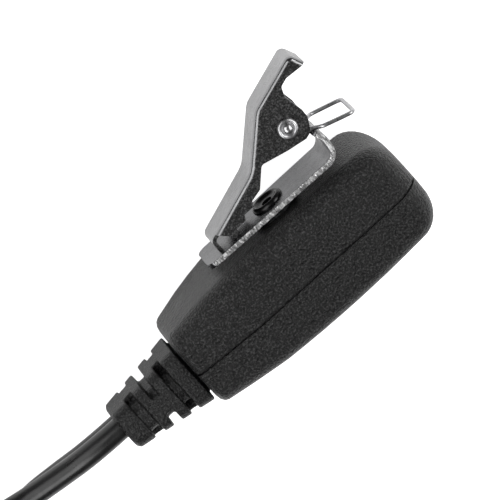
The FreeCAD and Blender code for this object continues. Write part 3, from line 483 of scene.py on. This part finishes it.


# grained_plastic: name, tone, tone of the high spots (a painted glint on the housing and the boot),
# roughness, scale of the grain, its depth
# nickel_material: name, tone, roughness, depth of the ripple, stretch of the streaks
# stamped_nickel: name, tone of the back, tone of the cheeks (painted shade on the lever, painted highlight
# on the base's sheared edges), depth of their marks, the marks' stretch
# The housing's and the boot's high spots are far lighter than their tone: painted glints of the spark
# texture over a real grain.
housing_plastic = grained_plastic("housing_spark_black", grey(0.001), grey(0.045), 0.34, 2900.0, 0.00022)
boot_rubber = grained_plastic("boot_matte_black", grey(0.002), grey(0.04), 0.4, 3200.0, 0.00012)
button_plastic = grained_plastic("button_satin_black", grey(0.01), grey(0.014), 0.38, 6000.0, 0.00001)
grip_rubber = grained_plastic("grip_satin_black", grey(0.009), grey(0.016), 0.42, 6000.0, 0.00002)
inner_black = grained_plastic("inner_black", grey(0.012), grey(0.02), 0.5, 5000.0, 0.00001)
lead_jacket = jacket_material()
sheet_nickel = nickel_material("nickel_brushed", (0.42, 0.42, 0.43), 0.22, 0.00001, (1, 1, 0.08))
lever_nickel_painted_shade = stamped_nickel("lever_nickel_painted_shade", (0.28, 0.28, 0.285), grey(0.17), 0.00003, (1, 1, 1))
# The base plate's back is darker than the lever's as painted shade under the lever, and its sheared edges
# are lighter as painted highlight over real shear streaks.
base_nickel_painted_light = stamped_nickel("base_nickel_painted_light", (0.19, 0.19, 0.195), grey(0.6), 0.0002, (1, 0.25, 0.25))
spring_steel = nickel_material("spring_wire_bright", (0.6, 0.6, 0.61), 0.26, 0.00001)
board_green = grained_plastic(
    "board_mask_green", (0.01, 0.08, 0.03), (0.02, 0.13, 0.05), 0.35, 3000.0, 0.00001
)
wire_sleeve = grained_plastic(
    "wire_sleeve_red", (0.3, 0.03, 0.02), (0.36, 0.05, 0.03), 0.35, 3000.0, 0.00001
)
board_black = board_part_material()
contact_plate = nickel_material("contact_plate", grey(0.6), 0.14, 0.000004)
rivet_black = gloss_black_material()

finishes = {
    "housing_black": housing_plastic,
    "button_black": button_plastic,
    "boot_rubber": boot_rubber,
    "lead_jacket": lead_jacket,
    "moulded_grip": grip_rubber,
    "tie_band": grip_rubber,
    "nickel_sheet": sheet_nickel,
    "spring_wire": spring_steel,
    "rivet_black": rivet_black,
    "nylon_washer": inner_black,
    "plated_contact": contact_plate,
    "insulator": inner_black,
    "screw_steel": contact_plate,
    "capsule_can": contact_plate,
    "holder_rubber": boot_rubber,
    "felt": inner_black,
    "board_green": board_green,
    "board_parts_mix": board_black,
    "copper_wire": wire_sleeve,
}
own_finishes = {"clip_lever": lever_nickel_painted_shade, "clip_base": base_nickel_painted_light}
slot_of = {part["node"]: part["material_slot"] for part in frame["record"]["subparts"]}


def dress(mesh, material):
    """That material alone, all over the mesh."""
    mesh.materials.clear()
    mesh.materials.append(material)


def finish_of(node):
    """The node's own finish, or else that of its slot."""
    return own_finishes.get(node, finishes[slot_of[node]])


def dress_nodes():
    """Every node of the frame gets its finish."""
    for node in slot_of:
        dress(nodes[node].data, finish_of(node))


# From here on, bare lengths are in millimetres. These are the middle of the width and the lever's pivot.
middle_z = 10.0
pivot = (10.2, 19.15)
curve_order = 3


def control_radius(radius, step):
    """How far out a spline's points lie so that the curve between them keeps that radius."""
    return radius / (0.75 + 0.25 * math.cos(step))


def wire_curve(name, points, radius, steps_along, steps_round):
    """A round wire or cord along one smooth line. Its radius is in metres, and its points aren't."""
    curve = bpy.data.curves.new(name, "CURVE")
    curve.dimensions = "3D"
    spline = curve.splines.new("NURBS")
    spline.points.add(len(points) - 1)
    for control, point in zip(spline.points, points):
        control.co = (*mm(*point), 1)
    spline.order_u = curve_order
    spline.use_endpoint_u = True
    spline.resolution_u = steps_along
    curve.bevel_depth = radius
    curve.bevel_resolution = steps_round
    curve.use_fill_caps = True
    return curve


# Spring: a coil each side of the knuckle, an arm up under the tail from each, and the wire bail
wire_radius = 0.36
spring_coil_radius = 2.0
spring_coil_start_z = 1.14
spring_pitch = 1.03
bail_slope = math.radians(17.0)
arm_slope = math.radians(45.0)
arm_length = 7.1
arm_shares = (1.0, 0.9, 0.3, 0.08)
bail_narrow_x = 13.2
bail_wide_x = 14.5
bail_end_x = 20.0
bail_half_width = 4.35
bail_corner = 1.9
# The bail's leg: how far along and how far out its start, its neck and its bend lie
bail_leg_start = (0.5, 0.05)
bail_leg_neck = (0.6, 0.2)
bail_leg_narrow = 0.3
bail_bend = (0.8, 0.1)
bail_middle_z = 0.5
spring_steps = 32
spring_steps_along = 5
spring_steps_round = 5
spring_merge = 0.001


def spring_side():
    """Points of one half of the wire, from the arm's tip to the middle of the bail's end.

    Their z is counted from the middle of the width.
    """
    first = math.pi / 2 + arm_slope
    last = -math.pi / 2 - bail_slope + 2 * math.pi
    turns = 1 + (last - first) / (2 * math.pi)
    arm_way = Vector((math.cos(arm_slope), math.sin(arm_slope), 0))
    count = round(spring_steps * turns)
    step = 2 * math.pi * turns / count
    radius = control_radius(spring_coil_radius, step)
    coil = []
    for index in range(count + 1):
        angle = first + step * index
        z = spring_coil_start_z + spring_pitch * turns * index / count
        coil.append(Vector((pivot[0] + radius * math.cos(angle), pivot[1] + radius * math.sin(angle), z)))
    arm = [coil[0] + arm_way * (arm_length * share) for share in arm_shares]
    start = coil[-1]

    def on_leg(x, z):
        return Vector((x, start.y - math.tan(bail_slope) * (x - start.x), z))

    leg = [
        on_leg(start.x + bail_leg_start[0], start.z + bail_leg_start[1]),
        on_leg(bail_narrow_x - bail_leg_neck[0], start.z + bail_leg_neck[1]),
        on_leg(bail_narrow_x, start.z + bail_leg_narrow),
        on_leg(bail_wide_x, bail_half_width - bail_bend[1]),
        on_leg(bail_wide_x + bail_bend[0], bail_half_width),
        on_leg(bail_end_x - bail_corner, bail_half_width + bail_bend[1]),
        on_leg(bail_end_x, bail_half_width + bail_bend[1]),
        on_leg(bail_end_x, bail_half_width - bail_corner),
        on_leg(bail_end_x, bail_middle_z),
    ]
    return arm + coil + leg


def plain_mesh(name, source):
    """The evaluated form of an object as a mesh of its own, with the source removed."""
    bpy.context.view_layer.update()
    mesh = bpy.data.meshes.new_from_object(source.evaluated_get(bpy.context.evaluated_depsgraph_get()))
    bpy.data.objects.remove(source)
    mesh.name = name
    return mesh


def placed(name, mesh):
    """An object of that name in the scene."""
    piece = bpy.data.objects.new(name, mesh)
    scene.collection.objects.link(piece)
    return piece


# Stampings and mouldings whose edges are rounded off
edge_segments = 3
merge_distance = 0.002 * MM
flat_angle = math.radians(1.0)
corner_angle = math.radians(38.0)
lever_edge = 0.16
base_edge = 0.12
boot_exit_x = -42.0
boot_length = 14.6
boot_end_margin = 0.1
boot_exit_swell = 1.04
boot_housing_swell = 1.18
boot_shift_y = -0.55
boot_voxel = 0.16
boot_smooth_factor = 0.5
boot_smoothing = 16
seam_y = -0.55


def merged_copy(node):
    """A CAD node's form with its doubles merged and its flat faces joined."""
    bm = bmesh.new()
    bm.from_mesh(nodes[node].data)
    bmesh.ops.remove_doubles(bm, verts=bm.verts, dist=merge_distance)
    bmesh.ops.dissolve_limit(bm, angle_limit=flat_angle, verts=bm.verts, edges=bm.edges)
    return bm


def softened(node, name, radius):
    """A piece in the place of that node, with a small radius on each of its edges.

    Only places and faces are carried over, so that the CAD mesh's own normals are left behind.
    """
    bm = merged_copy(node)
    bm.verts.index_update()
    mesh = bpy.data.meshes.new(name)
    places = [tuple(vertex.co) for vertex in bm.verts]
    mesh.from_pydata(places, [], [[vertex.index for vertex in face.verts] for face in bm.faces])
    bm.free()
    mesh.shade_smooth()
    piece = placed(name, mesh)
    bevel = piece.modifiers.new("edge_radius", "BEVEL")
    bevel.width = radius * MM
    bevel.segments = edge_segments
    bevel.limit_method = "ANGLE"
    bevel.angle_limit = corner_angle
    bevel.use_clamp_overlap = True
    evened = piece.modifiers.new("flat_faces", "WEIGHTED_NORMAL")
    evened.keep_sharp = True
    finished = placed(name, plain_mesh(name, piece))
    dress(finished.data, finish_of(node))
    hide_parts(node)
    return finished


def make_softened_pieces():
    """The clip's lever and base plate, with the small radii that stamping leaves."""
    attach(softened("clip_lever", "lever_stamping", lever_edge), "lever")
    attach(softened("clip_base", "base_stamping", base_edge), "clip")


def fuller_boot(place):
    """The boot's ribs, a little fuller across than their solids, most of all at the housing."""
    from_exit = place.x / MM - boot_exit_x
    if from_exit > boot_length + boot_end_margin:
        return place
    share = max(0.0, from_exit / boot_length)
    swell = boot_exit_swell + share * (boot_housing_swell - boot_exit_swell)
    axis_y = seam_y * MM
    return Vector((place.x, axis_y + boot_shift_y * MM + (place.y - axis_y) * swell, place.z))


def make_boot():
    """The ribbed boot, moulded with soft corners."""
    bm = merged_copy("strain_relief")
    for vertex in bm.verts:
        vertex.co = fuller_boot(vertex.co)
    mesh = bpy.data.meshes.new("boot_form")
    bm.to_mesh(mesh)
    bm.free()
    form = placed("boot_form", mesh)
    remesh = form.modifiers.new("even_faces", "REMESH")
    remesh.mode = "VOXEL"
    remesh.voxel_size = boot_voxel * MM
    smooth = form.modifiers.new("soft_corners", "SMOOTH")
    smooth.factor = boot_smooth_factor
    smooth.iterations = boot_smoothing
    boot = placed("ribbed_boot", plain_mesh("ribbed_boot", form))
    boot.data.shade_smooth()
    dress(boot.data, boot_rubber)
    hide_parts("strain_relief")
    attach(boot, "housing")


# Rivets, as profiles of radius and height that are turned round their axes
turn_steps = 64
pin_half_length = 3.85
pin_shaft_radius = 1.2
pin_head_profile = [
    (0.0, 0.88),
    (0.3, 0.86),
    (0.58, 0.76),
    (0.82, 0.56),
    (0.95, 0.36),
    (1.02, 0.3),
    (1.1, 0.36),
    (1.2, 0.48),
    (1.36, 0.54),
    (1.55, 0.5),
    (1.68, 0.4),
    (1.74, 0.24),
    (1.75, 0.0),
]
swivel_head_y = 11.0
swivel_head_profile = [
    (1.0, 0.12),
    (1.35, 0.14),
    (1.7, 0.26),
    (1.95, 0.46),
    (2.12, 0.6),
    (2.3, 0.66),
    (2.5, 0.63),
    (2.7, 0.5),
    (2.84, 0.3),
    (2.9, 0.0),
]
swivel_shank_radius = 2.0
swivel_inner_y = 6.9
swivel_tail_y = 7.6
swivel_head_radius = 2.9


def turned(name, profile, centre, axis_turn, material):
    """A closed profile of radius and height, turned about an axis through the centre."""
    bm = bmesh.new()
    loop = [bm.verts.new((radius * MM, 0, height * MM)) for radius, height in profile]
    edges = [bm.edges.new(pair) for pair in zip(loop, loop[1:])]
    if profile[0][0] > 0:
        edges.append(bm.edges.new((loop[-1], loop[0])))
    bmesh.ops.spin(
        bm,
        geom=loop + edges,
        axis=(0, 0, 1),
        cent=(0, 0, 0),
        steps=turn_steps,
        angle=2 * math.pi,
        use_merge=True,
    )
    bmesh.ops.remove_doubles(bm, verts=bm.verts, dist=merge_distance)
    bmesh.ops.recalc_face_normals(bm, faces=bm.faces)
    bmesh.ops.rotate(bm, verts=bm.verts, cent=(0, 0, 0), matrix=axis_turn)
    bmesh.ops.translate(bm, verts=bm.verts, vec=centre)
    mesh = bpy.data.meshes.new(name)
    bm.to_mesh(mesh)
    bm.free()
    mesh.shade_smooth()
    mesh.set_sharp_from_angle(angle=corner_angle)
    mesh.materials.append(material)
    return placed(name, mesh)


def make_rivets():
    """The pivot's rivet with its domed heads, and the dished rivet that the clip swivels on."""
    near = [(radius, pin_half_length + height) for radius, height in pin_head_profile]
    shaft = [(pin_shaft_radius, pin_half_length), (pin_shaft_radius, -pin_half_length)]
    far = [(radius, -height) for radius, height in reversed(near)]
    sideways = Matrix.Identity(3)
    pin = turned("pivot_rivet", near + shaft + far, mm(*pivot, middle_z), sideways, spring_steel)
    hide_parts("pivot_pin")
    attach(pin, "clip")
    head = [(radius, swivel_head_y + height) for radius, height in swivel_head_profile]
    inside = [
        (swivel_shank_radius, swivel_head_y),
        (swivel_shank_radius, swivel_tail_y),
        (swivel_head_radius, swivel_tail_y),
        (swivel_head_radius, swivel_inner_y),
        (swivel_head_profile[0][0], swivel_inner_y),
    ]
    upright = Matrix.Rotation(-math.pi / 2, 3, "X")
    rivet = turned("dished_rivet", head + inside, mm(0, 0, middle_z), upright, rivet_black)
    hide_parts("swivel_rivet")
    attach(rivet, "housing")


def make_spring():
    """One wire through both halves, as a mesh."""
    half = spring_side()
    path = half + [Vector((p.x, p.y, -p.z)) for p in reversed(half)]
    points = [(p.x, p.y, p.z + middle_z) for p in path]
    curve = wire_curve("spring_path", points, wire_radius * MM, spring_steps_along, spring_steps_round)
    mesh = plain_mesh("bail_spring", placed("spring_path", curve))
    dress(mesh, spring_steel)
    bm = bmesh.new()
    bm.from_mesh(mesh)
    bmesh.ops.remove_doubles(bm, verts=bm.verts, dist=spring_merge * MM)
    bmesh.ops.recalc_face_normals(bm, faces=bm.faces)
    for face in bm.faces:
        face.smooth = True
    bm.to_mesh(mesh)
    bm.free()
    return placed("bail_spring", mesh)


# Cords, along the routes that their solids take
lead_diameter = 3.9 * MM
main_route = [
    (boot_exit_x, -1.1, 7.95),
    (-48.0, -1.1, 7.95),
    (-54.8, -1.6, 4.6),
    (-61.8, -1.9, 2.4),
    (-68.5, -3.9, 2.1),
    (-73.6, -8.6, 2.1),
    (-77.6, -14.6, 2.1),
    (-82.2, -20.6, 2.2),
    (-88.0, -25.2, 2.3),
]
coil_centre = (-104.0, -0.5)
coil_inner_radius = 15.2
coil_turns = 5.5
coil_pitch = 4.43
coil_low_z = 2.5
coil_points_per_turn = 18
coil_bend_turns = 0.25
# Runs towards the winding's start with a shift sideways, and away from its end with a rise
coil_lead_in = [(9.0, 0.9), (3.9, 0.0)]
coil_lead_out = [(5.0, 0.0), (9.4, -0.5)]
tail_shift_y = 0.2
plug_run = 5.5
plug_start_x = -82.0
plug_z = 4.0
earpiece_route = [
    (boot_exit_x, -0.25, 12.05),
    (-48.0, -0.25, 12.05),
    (-55.2, -0.4, 9.4),
    (-62.5, -0.2, 7.2),
    (-69.5, 1.8, 8.2),
    (-76.3, 5.6, 11.9),
    (-84.0, 11.0, 12.6),
]
lying_angles = (59, 84, 109, 134, 159, 184, 208, 231)
lying_radius = 21.6
lying_gap = 0.2
socket_start = (-102.0, -21.7, 12.58)
socket_run = 7.4
cord_steps_along = 8
cord_steps_round = 6


def coil_point(turn):
    """The main lead's centre after that many turns: in, up a layer, and out again."""
    away = turn - coil_turns / 2
    if abs(away) < coil_bend_turns:
        spread = (away**2 + coil_bend_turns**2) / (2 * coil_bend_turns)
        share = (away + coil_bend_turns) / (2 * coil_bend_turns)
        climb = share**2 * (3 - 2 * share)
    else:
        spread = abs(away)
        climb = 0.0 if away < 0 else 1.0
    step = math.radians(360 / coil_points_per_turn)
    radius = control_radius(coil_inner_radius + coil_pitch * spread, step)
    angle = math.radians(-90 - 360 * turn)
    return (
        coil_centre[0] + radius * math.cos(angle),
        coil_centre[1] + radius * math.sin(angle),
        coil_low_z + coil_pitch * climb,
    )


def cord_curve(name, points):
    """A lead along that route."""
    curve = wire_curve(name, points, lead_diameter / 2, cord_steps_along, cord_steps_round)
    curve.materials.append(lead_jacket)
    return placed(name, curve)


def make_main_cord():
    """The lower lead with its wound length and the run to its plug."""
    count = round(coil_turns * coil_points_per_turn)
    wound = [coil_point(coil_turns * index / count) for index in range(count + 1)]
    first_x, first_y, _ = wound[0]
    last_x, last_y, last_z = wound[-1]
    tail_y = last_y + tail_shift_y
    lead_in = [(first_x + run, first_y + aside, coil_low_z) for run, aside in coil_lead_in]
    lead_out = [(last_x + run, tail_y, last_z + rise) for run, rise in coil_lead_out]
    plug_end = [(plug_start_x - plug_run, tail_y, plug_z), (plug_start_x, tail_y, plug_z)]
    return cord_curve("main_lead", main_route + lead_in + wound + lead_out + plug_end)


def make_earpiece_cord():
    """The upper lead, which lies on the wound one and ends in its socket."""
    lying_z = coil_low_z + 2 * coil_pitch + lying_gap
    lying = []
    for angle in lying_angles:
        bearing = math.radians(angle)
        x = coil_centre[0] + lying_radius * math.cos(bearing)
        y = coil_centre[1] + lying_radius * math.sin(bearing)
        lying.append((x, y, lying_z))
    socket_x, socket_y, socket_z = socket_start
    end = [(socket_x - socket_run, socket_y, socket_z), socket_start]
    return cord_curve("earpiece_lead", earpiece_route + lying + end)


make_camera()
make_floor()
make_room()
make_lights()
dress_nodes()

make_softened_pieces()
make_boot()
make_rivets()
bail_spring = make_spring()
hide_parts("clip_spring")
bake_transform(bail_spring)
main_lead = make_main_cord()
earpiece_lead = make_earpiece_cord()
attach(main_lead, "housing")
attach(earpiece_lead, "housing")
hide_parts("main_cord", "main_cord_coil", "main_cord_tail")
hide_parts("earpiece_cord")
